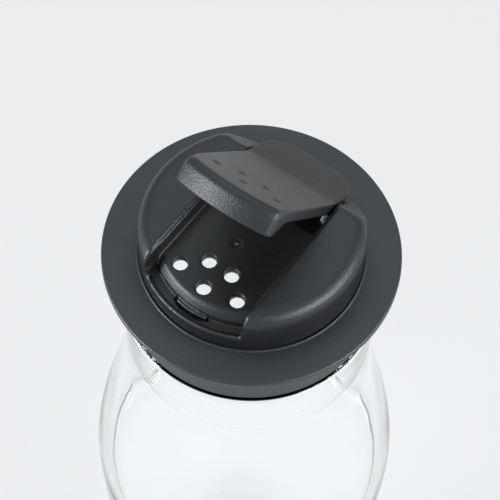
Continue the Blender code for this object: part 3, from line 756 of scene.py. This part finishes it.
def insert_field(at):
    """The insert as moulded: boss, slot, sifter plate, moat, catch, sockets and cored underside."""
    far = BOSS_R + BEYOND
    high = BOSS_H + BEYOND
    boss = at.turned([(-far, BOSS_H), (BOSS_TOP_R, BOSS_H, BOSS_FILLET), (BOSS_R, FIT_GAP, FINE_EDGE),
                      (SPIGOT_R, FIT_GAP, FINE_EDGE), (SPIGOT_R, BEAD_TOP), (BEAD_R, BEAD_TOP),
                      (SPIGOT_R, SPIGOT_BOTTOM), (-far, SPIGOT_BOTTOM)])
    solid = both(boss, facet_field(at), FACET_EDGE)
    back = PIVOT_Y - EAR_R - EAR_GAP
    well = PIVOT_Z - EAR_R - EAR_GAP
    ramp = PIVOT_Y + math.hypot(EAR_R, tab_under(PIVOT_Y + EAR_R) - PIVOT_Z) + FIT_GAP
    section = at.extruded([(-far, PLATE_TOP), (back, PLATE_TOP, BLUNT_EDGE), (back, well, EDGE),
                           (ramp, well, EDGE), (ramp, stop_height(ramp), EDGE), (far, stop_height(far)),
                           (far, high), (-far, high)])
    slot = both(section, at.across - SLOT_HALF_W)
    outer = ease(at.r - BOSS_R + CORNER_BAND) * (at.y < 0)
    solid = without(solid, slot, EDGE + (CHEEK_CORNER - EDGE) * outer)
    rebate = both(BOSS_H - REBATE_D - at.z, at.across - SLOT_HALF_W - REBATE_W, THIN_EDGE)
    solid = without(solid, rebate, EDGE)
    moat = at.turned([(PLATE_R, high), (PLATE_R, PLATE_TOP),
                      (PLATE_FOOT_R - WALL_LEAN, PLATE_TOP - SLOPE_DROP, EDGE),
                      (PLATE_FOOT_R, MOAT_FLOOR, FINE_EDGE), (RIM_IN_R, MOAT_FLOOR, FINE_EDGE),
                      (RIM_IN_R, RIM_Z, RIM_EDGE), (far, RIM_Z), (far, high)])
    front = both(at.across - SLOT_HALF_W, at.y)
    beside = ease(at.across - SLOT_HALF_W + CORNER_SIDE)
    edge = SLOPE_ROUND + (EDGE - SLOPE_ROUND) * outer
    solid = without(solid, both(moat, front, EDGE), edge + (CHEEK_CORNER - edge) * outer * beside)
    solid = without(solid, cores(at, back, well))
    socket = at.axle(PIVOT_Y, PIVOT_Z, TRUNNION_R + FIT_GAP)
    solid = without(solid, both(socket, at.across - SLOT_HALF_W - TRUNNION_L))
    for x, y in hole_places():
        bore = both(at.pin(x, y, HOLE_R), PLATE_TOP - 2 * PLATE_T - at.z)
        solid = without(solid, bore, HOLE_EDGE)
    return gate_mark(at, catch(at, solid))


def cores(at, back, well):
    """Everything hollow under the insert: base, sifter plate and the two cheeks."""
    core_r = SPIGOT_R - SPIGOT_WALL
    base = both(at.r - core_r, at.z - (well - FLOOR_T), EDGE)
    plate = both(both(at.r - PLATE_R + PLATE_WALL, at.z - PLATE_TOP + PLATE_T, EDGE),
                 both(at.across - SLOT_HALF_W, at.y - back + PLATE_WALL))
    skin = facet_field(at) + TOP_WALL
    cheek = both(both(at.r - core_r + CORE_STEP, at.z - BOSS_H + TOP_WALL, CORE_ROUND),
                 both(skin, SLOT_HALF_W + CHEEK_WALL - at.across, BROAD_EDGE), BROAD_EDGE)
    return either(either(base, plate), cheek)


def catch(at, solid):
    """The bead that the closed flap passes over, in a pocket at the foot of the plate."""
    angle = np.arctan2(at.x, -at.y)
    span = (np.abs(angle) - CATCH_HALF) * PLATE_FOOT_R
    low = MOAT_Z - POCKET_D
    taper = np.sqrt(np.clip(CATCH_FULL - (angle / CATCH_HALF) ** 2, 0, 1))
    pocket = both(at.r - PLATE_FOOT_R - POCKET_W * taper, PLATE_FOOT_R - at.r)
    solid = without(solid, both(both(pocket, low - at.z, FINE_EDGE), span, SMALL_EDGE), SMALL_EDGE)
    bead = np.hypot(at.r - PLATE_FOOT_R - CATCH_OUT * taper, at.z - MOAT_FLOOR - CATCH_UP) - CATCH_R
    return either(solid, both(bead, span + CATCH_INSET, EDGE))


def gate_mark(at, solid):
    """Shallow ring and broken stub where the mould was filled."""
    x, y = GATE_AT
    dish = both(at.pin(x, y, GATE_R), PLATE_TOP - GATE_DEPTH - at.z)
    solid = without(solid, dish, FINE_EDGE)
    stub = both(at.pin(x, y, GATE_STUB_R), at.z - PLATE_TOP - GATE_STUB_H, FINE_EDGE)
    return either(solid, both(stub, PLATE_TOP - PLATE_T - at.z + GATE_ROOT), FINE_EDGE)


def make_insert():
    """The shaker insert, on the collar."""
    reach = BOSS_R + MARGIN
    at = Space((-reach, -reach, SPIGOT_BOTTOM - MARGIN), (reach, reach, BOSS_H + MARGIN), INSERT_STEP)
    points, faces = at.skin(insert_field(at))
    mat = black_plastic("insert_plastic", shade=0.006, grain=0.4, rough=0.41)
    piece = mesh_piece("insert", points + [0, 0, DECK], faces, mat)
    dress(piece, "cap", "insert_black", "shaker_insert")


def flap_field(at):
    """The closed flap: plate, side lips with ears, front skirt, thumb tab, trunnions and plug pins."""
    far = BOSS_R + BEYOND
    tip = PIVOT_Y + TAB_REACH
    back = tip + TAB_BLANK
    rise = (back - CREASE_Y) * math.tan(TAB_ANGLE)
    corner_y = math.sqrt(BOSS_TOP_R ** 2 - FLAP_HALF_W ** 2)
    gusset = corner_y - GUSSET_BACK
    lip_z = BOSS_H - LIP_H
    ear_front = PIVOT_Y - EAR_SIZE
    ear_back = PIVOT_Y + EAR_SIZE
    ear_z = PIVOT_Z - EAR_SIZE
    section = at.extruded([(-far, BOSS_H), (CREASE_Y, BOSS_H, CREASE_ROUND), (back, BOSS_H + rise),
                           (back, tab_under(back)), (ear_back, tab_under(ear_back), EDGE),
                           (ear_back, ear_z, EAR_SIZE), (ear_front, ear_z, EAR_SIZE),
                           (ear_front, lip_z, BROAD_EDGE), (-gusset, lip_z, GUSSET_TOP_ROUND),
                           (-gusset - GUSSET_RUN, FLAP_BOTTOM, GUSSET_FOOT_ROUND), (-far, FLAP_BOTTOM)])
    rear = at.y - tip + TAB_BOW * (at.x / FLAP_HALF_W) ** 2
    plan = both(at.across - FLAP_HALF_W, rear, TAB_CORNER_R)
    ahead = np.where(at.y < 0, at.r - BOSS_TOP_R + FLAP_INSET, -far)
    brow = ease((-at.y - corner_y) / FLAP_CORNER_RUN + 1) * ease(at.z - FLAP_BOTTOM - BROW_FOOT)
    solid = both(section, both(plan, ahead, FLAP_CORNER), EDGE + (FLAP_FILLET - EDGE) * brow)
    solid = without(solid, flap_hollow(at), THIN_EDGE)
    bar = at.axle(PIVOT_Y, PIVOT_Z, TRUNNION_R)
    trunnions = both(bar, at.across - FLAP_HALF_W - TRUNNION_L, SMALL_EDGE)
    solid = either(solid, both(trunnions, FLAP_HALF_W - LIP_T / 2 - at.across), THIN_EDGE)
    for x, y in hole_places():
        pin = both(at.pin(x, y, HOLE_R - FIT_GAP), PLATE_TOP - PIN_DIP - at.z, PIN_EDGE)
        solid = either(solid, both(pin, at.z - BOSS_H + FLAP_T / 2), SMALL_EDGE)
        sink = at.ball(x, y, BOSS_H + SINK_BALL_R - SINK_DEPTH, SINK_BALL_R)
        solid = without(solid, sink, FINE_EDGE)
    return solid


def flap_hollow(at):
    """Space under the flap, between its lips and behind its front skirt."""
    far = BOSS_R + BEYOND
    low = PIVOT_Z - EAR_R - BELOW
    back = PIVOT_Y + EAR_R + FIT_GAP
    under = BOSS_H - FLAP_T
    section = at.extruded([(-far, low), (back, low), (back, tab_under(back)), (BEND_Y, under),
                           (-far, under)])
    walls = both(at.across - FLAP_HALF_W + LIP_T, at.r - BOSS_TOP_R + FLAP_SKIRT_T, BROAD_EDGE)
    return both(section, walls, BLUNT_EDGE)


def make_flap():
    """The rocker flap, cut as it lies closed and then turned open about its pivot."""
    half = FLAP_HALF_W + TRUNNION_L + MARGIN
    at = Space((-half, -BOSS_R - MARGIN, PIVOT_Z - EAR_R - MARGIN),
               (half, PIVOT_Y + TAB_REACH + MARGIN, BOSS_H + TAB_ROOM), FLAP_STEP)
    points, faces = at.skin(flap_field(at))
    pivot = np.array([0, PIVOT_Y, PIVOT_Z])
    turn = np.array(Matrix.Rotation(-OPEN_ANGLE, 3, "X"))
    mat = black_plastic("flap_plastic", shade=0.009, grain=0.5, rough=0.4)
    piece = mesh_piece("rocker_flap", (points - pivot) @ turn.T + pivot + [0, 0, DECK], faces, mat)
    dress(piece, "flap", "flap_black", "flap")


def finish_liner():
    """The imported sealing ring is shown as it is, in foam."""
    liner = frame["nodes"]["seal_liner"]
    liner.data.materials.clear()
    liner.data.materials.append(white_foam("liner_foam"))


def seen_directly(tree, gloss=1.0):
    """1 for what is seen straight or through glass, gloss for a reflection and 0 for falling light."""
    camera, glossy, through = (add_node(tree, "ShaderNodeLightPath", {}, {}, name)
                               for name in ("Is Camera Ray", "Is Glossy Ray", "Is Transmission Ray"))
    return (camera + glossy * gloss + through).math("MINIMUM", 1.0)


def make_stage():
    """The pale floor, which takes the shadow, and the world."""
    bpy.ops.mesh.primitive_plane_add(size=STAGE_SIZE, location=(0, 0, -FLOOR_GAP))
    floor = bpy.context.object
    floor.name = "floor"
    mat, tree = new_material("pale_floor")
    plain = add_node(tree, "ShaderNodeBsdfDiffuse", {}, {"Color": STAGE_COLOUR})
    glow = add_node(tree, "ShaderNodeEmission", {}, {"Color": STAGE_COLOUR, "Strength": 1.0})
    share = seen_directly(tree) * FLOOR_GLOW
    mixed = add_node(tree, "ShaderNodeMixShader", {}, {0: share, 1: plain, 2: glow})
    floor.data.materials.append(finish_material(mat, mixed))
    world = bpy.data.worlds.new("studio")
    bpy.context.scene.world = world
    world.use_nodes = True
    sky = world.node_tree
    sky.nodes.clear()
    light = add_node(sky, "ShaderNodeBackground", {}, {"Color": LIGHT_COLOUR, "Strength": WORLD_LIGHT})
    seen = add_node(sky, "ShaderNodeBackground", {}, {"Color": STAGE_COLOUR, "Strength": 1.0})
    mixed = add_node(sky, "ShaderNodeMixShader", {}, {0: seen_directly(sky, WORLD_GLOSS), 1: light, 2: seen})
    add_node(sky, "ShaderNodeOutputWorld", {}, {"Surface": mixed})


def soft_light(name, direction, distance, width, height, power):
    """A soft light that looks at the cap from a direction."""
    light = bpy.data.lights.new(name, "AREA")
    light.shape = "RECTANGLE"
    light.size = width
    light.size_y = height
    light.energy = power
    light.color = LIGHT_COLOUR[:3]
    lamp = bpy.data.objects.new(name, light)
    bpy.context.scene.collection.objects.link(lamp)
    towards = Vector(direction).normalized()
    lamp.location = Vector((0, 0, DECK / METRE)) + towards * distance
    lamp.rotation_mode = "QUATERNION"
    lamp.rotation_quaternion = towards.to_track_quat("Z", "Y")


def make_camera():
    """The photograph's view: high, from the front right, a little rolled."""
    data = bpy.data.cameras.new("camera")
    data.lens = LENS
    data.sensor_width = SENSOR
    camera = bpy.data.objects.new("camera", data)
    bpy.context.scene.collection.objects.link(camera)
    towards = Vector((math.sin(VIEW_AZIMUTH) * math.cos(VIEW_ELEVATION),
                      -math.cos(VIEW_AZIMUTH) * math.cos(VIEW_ELEVATION), math.sin(VIEW_ELEVATION)))
    aim = Vector((0, VIEW_AIM_Y, DECK)) / METRE
    roll = Matrix.Rotation(VIEW_ROLL, 3, "Z").to_quaternion()
    camera.location = aim + towards * VIEW_DISTANCE / METRE
    camera.rotation_mode = "QUATERNION"
    camera.rotation_quaternion = towards.to_track_quat("Z", "Y") @ roll
    bpy.context.scene.camera = camera


ridges = ridge_tree()
make_jar(ridges)
make_collar(ridges)
make_insert()
make_flap()
finish_liner()
make_stage()
soft_light("left_light", (-0.58, -0.78, 0.26), distance=0.6, width=0.24, height=0.3, power=5.2)
soft_light("right_light", (0.87, 0.1, 0.38), distance=0.6, width=0.6, height=0.2, power=4.9)
soft_light("top_light", (-0.28, 0.41, 0.87), distance=0.8, width=0.7, height=0.7, power=1.5)
make_camera()
bpy.context.scene.view_settings.view_transform = "Standard"
